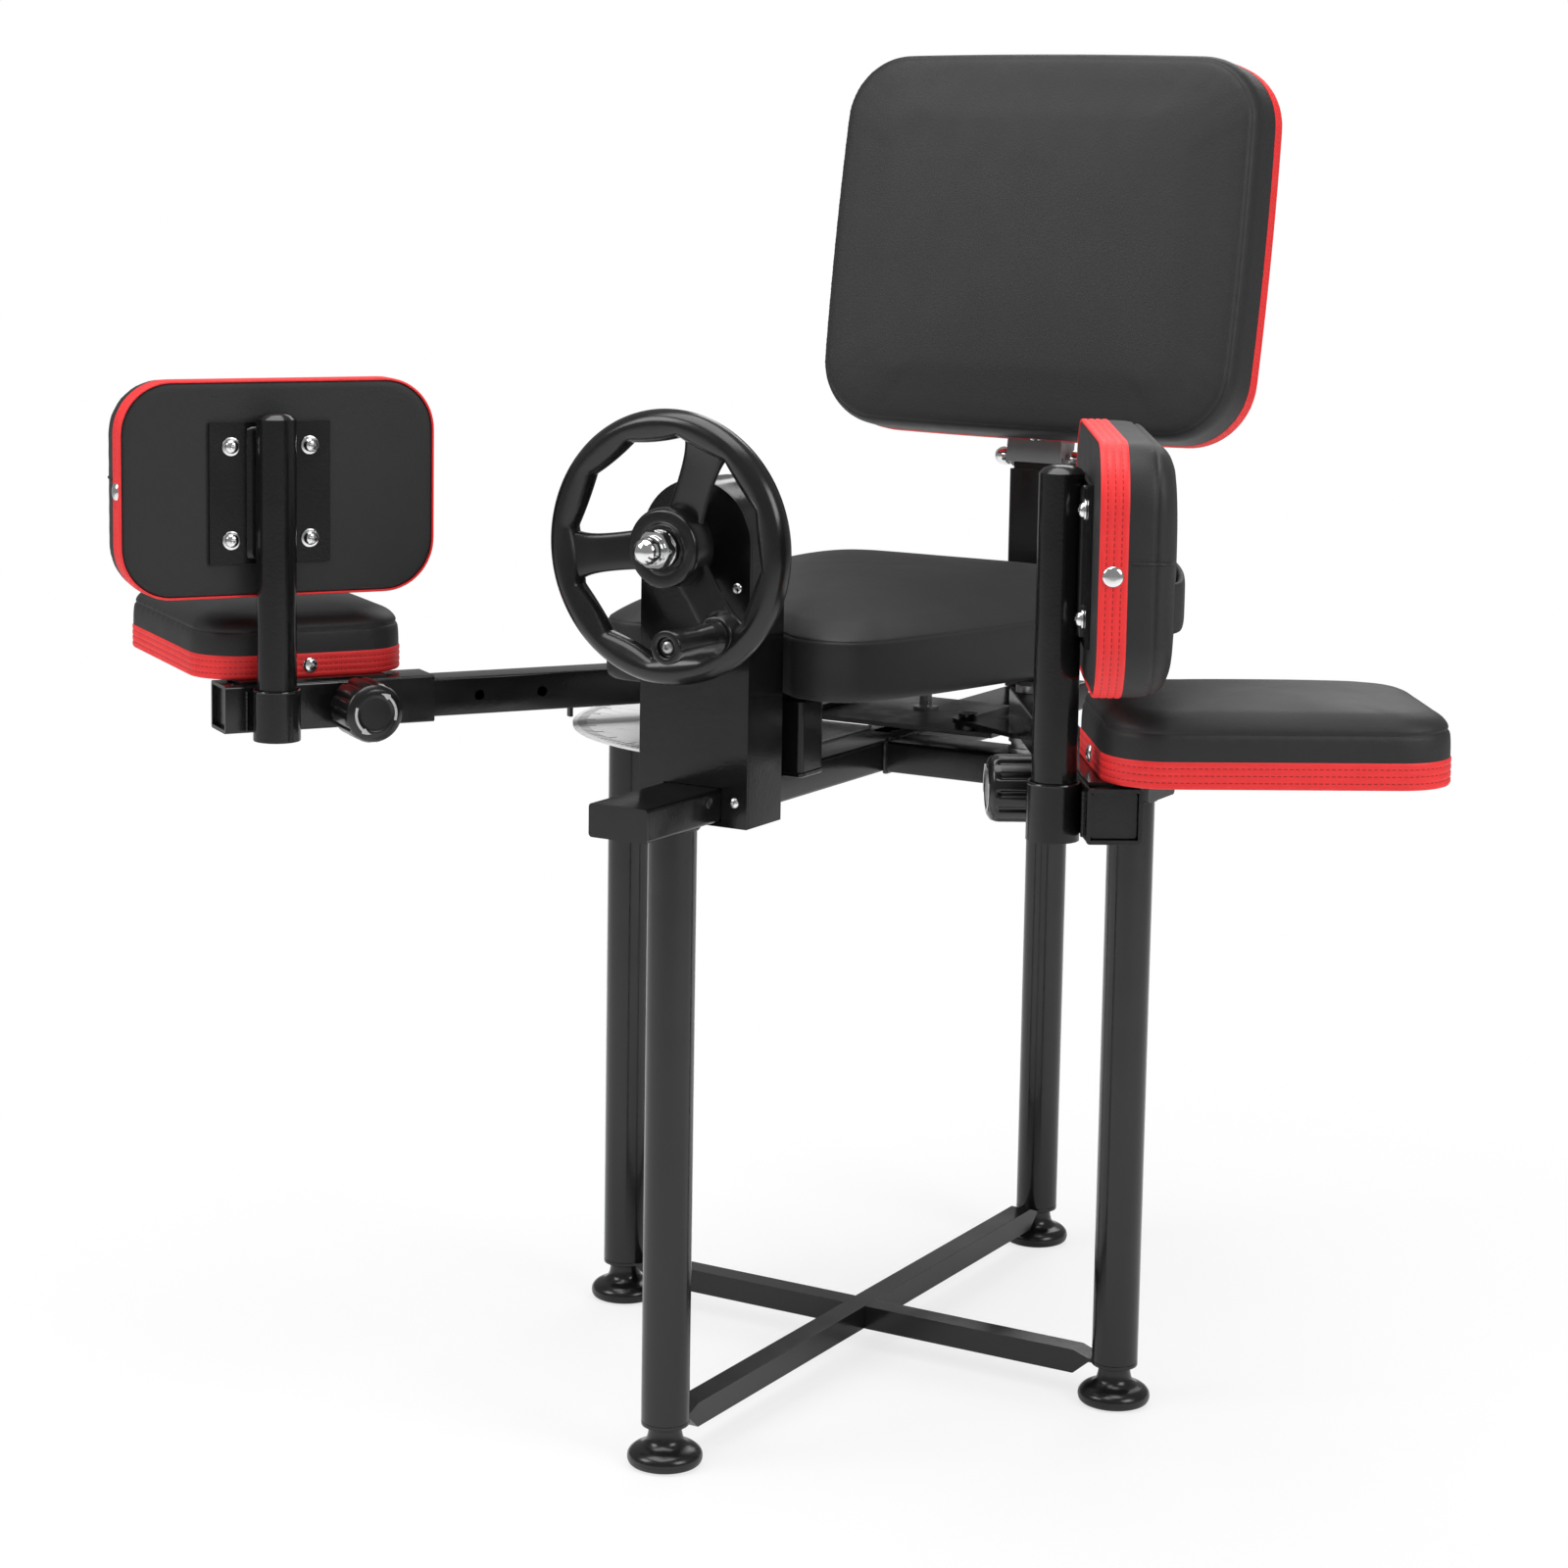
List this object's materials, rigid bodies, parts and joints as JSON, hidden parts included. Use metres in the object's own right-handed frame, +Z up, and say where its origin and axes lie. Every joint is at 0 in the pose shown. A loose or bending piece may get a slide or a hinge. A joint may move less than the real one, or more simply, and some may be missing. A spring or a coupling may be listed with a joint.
{
  "type": "leg stretching machine",
  "caption": "Seated leg spreader: hand wheel on a gearbox swings two padded arms apart under a notched seat with a tilting backrest, on a crossed tube stand.",
  "frame": {"origin": "middle of the footprint's bounding box, on the floor", "axes": "+Z up; -Y is the front, where the hand wheel is; +X is to the right when looking at the hand wheel"},
  "size_m": [1.1746, 0.833, 1.1113],
  "materials": {
    "black_coat": "gloss",
    "black_plastic": "satin",
    "bare_steel": "satin",
    "bright_chrome": "polished",
    "black_vinyl": "satin",
    "silver_plate": "satin"
  },
  "bodies": {
    "stand": {"front_leg": "black_coat", "rear_leg": "black_coat", "left_leg": "black_coat", "right_leg": "black_coat", "front_foot": "black_plastic", "rear_foot": "black_plastic", "left_foot": "black_plastic", "right_foot": "black_plastic", "long_brace": "black_coat", "left_brace": "black_coat", "right_brace": "black_coat", "long_tube": "black_coat", "front_cap": "black_plastic", "rear_cap": "black_plastic", "left_tube": "black_coat", "right_tube": "black_coat", "left_cap": "black_plastic", "right_cap": "black_plastic", "gearbox_housing": "black_coat", "gearbox_cover": "black_coat", "drive_chain": "bare_steel", "front_screw_bearing": "black_plastic", "rear_screw_bearing": "black_plastic", "left_pivot_bolt": "bare_steel", "right_pivot_bolt": "bare_steel", "seat_frame": "black_coat", "seat_cushion": "black_vinyl", "scale_plate": "silver_plate", "backrest_post": "black_coat"},
    "wheel": {"hand_wheel": "black_plastic", "wheel_shaft": "bare_steel", "upper_sprocket": "bare_steel", "wheel_nut": "bright_chrome", "crank_screw": "bright_chrome"},
    "crank": {"crank_grip": "black_plastic"},
    "screw": {"lead_screw": "bare_steel", "lower_sprocket": "bare_steel"},
    "carriage": {"carriage_nut": "bare_steel", "crosshead_plate": "bare_steel", "carriage_bolt": "bare_steel"},
    "backrest": {"backrest_bolt": "bright_chrome", "backrest_bracket": "black_coat", "backrest_cushion": "black_vinyl"},
    "left_arm_body": {"left_arm": "black_coat"},
    "left_link_body": {"left_link": "black_coat"},
    "left_sleeve_body": {"left_sleeve": "black_coat", "left_calf_pad": "black_vinyl"},
    "left_pin_body": {"left_pull_pin": "bare_steel"},
    "left_knob_body": {"left_knob": "black_plastic"},
    "left_side_pad_body": {"left_pad_post": "black_coat", "left_side_pad": "black_vinyl"},
    "right_arm_body": {"right_arm": "black_coat"},
    "right_link_body": {"right_link": "black_coat"},
    "right_sleeve_body": {"right_sleeve": "black_coat", "right_calf_pad": "black_vinyl"},
    "right_pin_body": {"right_pull_pin": "bare_steel"},
    "right_knob_body": {"right_knob": "black_plastic"},
    "right_side_pad_body": {"right_pad_post": "black_coat", "right_side_pad": "black_vinyl"}
  },
  "joints": [
    {"name": "wheel_spin", "type": "hinge", "parent": "stand", "child": "wheel", "pos_m": [0, -0.28251, 0.724], "axis": [0, -1, 0], "range_deg": [-680, 1569]},
    {"name": "crank_spin", "type": "hinge", "parent": "wheel", "child": "crank", "pos_m": [0.04754, -0.29851, 0.66091], "axis": [0, -1, 0], "continuous": true},
    {"name": "screw_spin", "type": "hinge", "parent": "stand", "child": "screw", "pos_m": [0, -0.22051, 0.523], "axis": [0, -1, 0], "range_deg": [-1361, 3139]},
    {"name": "carriage_slide", "type": "slide", "parent": "stand", "child": "carriage", "axis": [0, 1, 0], "range_m": [-0.0698, 0.0303]},
    {"name": "backrest_tilt", "type": "hinge", "parent": "stand", "child": "backrest", "pos_m": [0, 0.35449, 0.748], "axis": [1, 0, 0], "range_deg": [-8, 8]},
    {"name": "left_arm_swing", "type": "hinge", "parent": "stand", "child": "left_arm_body", "pos_m": [-0.15, 0.04149, 0.56995], "axis": [0, 0, 1], "range_deg": [-56.5, 24.5]},
    {"name": "left_link_swing", "type": "hinge", "parent": "left_arm_body", "child": "left_link_body", "pos_m": [-0.07823, 0.06648, 0.552], "axis": [0, 0, 1], "range_deg": [-24.5, 56.5]},
    {"name": "left_sleeve_slide", "type": "slide", "parent": "left_arm_body", "child": "left_sleeve_body", "axis": [-0.5519, -0.8339, 0], "range_m": [-0.056, 0.056]},
    {"name": "left_pin_pull", "type": "slide", "parent": "left_sleeve_body", "child": "left_pin_body", "axis": [0.8339, -0.5519, 0], "range_m": [-0.006, 0.007]},
    {"name": "left_knob_turn", "type": "hinge", "parent": "left_pin_body", "child": "left_knob_body", "pos_m": [-0.2918, -0.27239, 0.56995], "axis": [0.8339, -0.5519, 0], "range_deg": [-360, 360]},
    {"name": "left_pad_swivel", "type": "hinge", "parent": "left_sleeve_body", "child": "left_side_pad_body", "pos_m": [-0.34461, -0.32138, 0.57], "axis": [0, 0, 1], "range_deg": [-25, 25]},
    {"name": "right_arm_swing", "type": "hinge", "parent": "stand", "child": "right_arm_body", "pos_m": [0.15, 0.04149, 0.56995], "axis": [0, 0, 1], "range_deg": [-24.5, 56.5]},
    {"name": "right_link_swing", "type": "hinge", "parent": "right_arm_body", "child": "right_link_body", "pos_m": [0.07823, 0.06648, 0.552], "axis": [0, 0, 1], "range_deg": [-56.5, 24.5]},
    {"name": "right_sleeve_slide", "type": "slide", "parent": "right_arm_body", "child": "right_sleeve_body", "axis": [0.5519, -0.8339, 0], "range_m": [-0.056, 0.056]},
    {"name": "right_pin_pull", "type": "slide", "parent": "right_sleeve_body", "child": "right_pin_body", "axis": [-0.8339, -0.5519, 0], "range_m": [-0.006, 0.007]},
    {"name": "right_knob_turn", "type": "hinge", "parent": "right_pin_body", "child": "right_knob_body", "pos_m": [0.2918, -0.27239, 0.56995], "axis": [-0.8339, -0.5519, 0], "range_deg": [-360, 360]},
    {"name": "right_pad_swivel", "type": "hinge", "parent": "right_sleeve_body", "child": "right_side_pad_body", "pos_m": [0.34461, -0.32138, 0.57], "axis": [0, 0, 1], "range_deg": [-25, 25]}
  ],
  "couplings": [
    {"joint": "screw_spin", "follows": "wheel_spin", "ratio": 2},
    {"joint": "carriage_slide", "follows": "wheel_spin", "m_per_rad": -0.0025465},
    {"joint": "left_arm_swing", "follows": "wheel_spin", "ratio": -0.036},
    {"joint": "left_link_swing", "follows": "wheel_spin", "ratio": 0.036},
    {"joint": "right_arm_swing", "follows": "wheel_spin", "ratio": 0.036},
    {"joint": "right_link_swing", "follows": "wheel_spin", "ratio": -0.036}
  ]
}
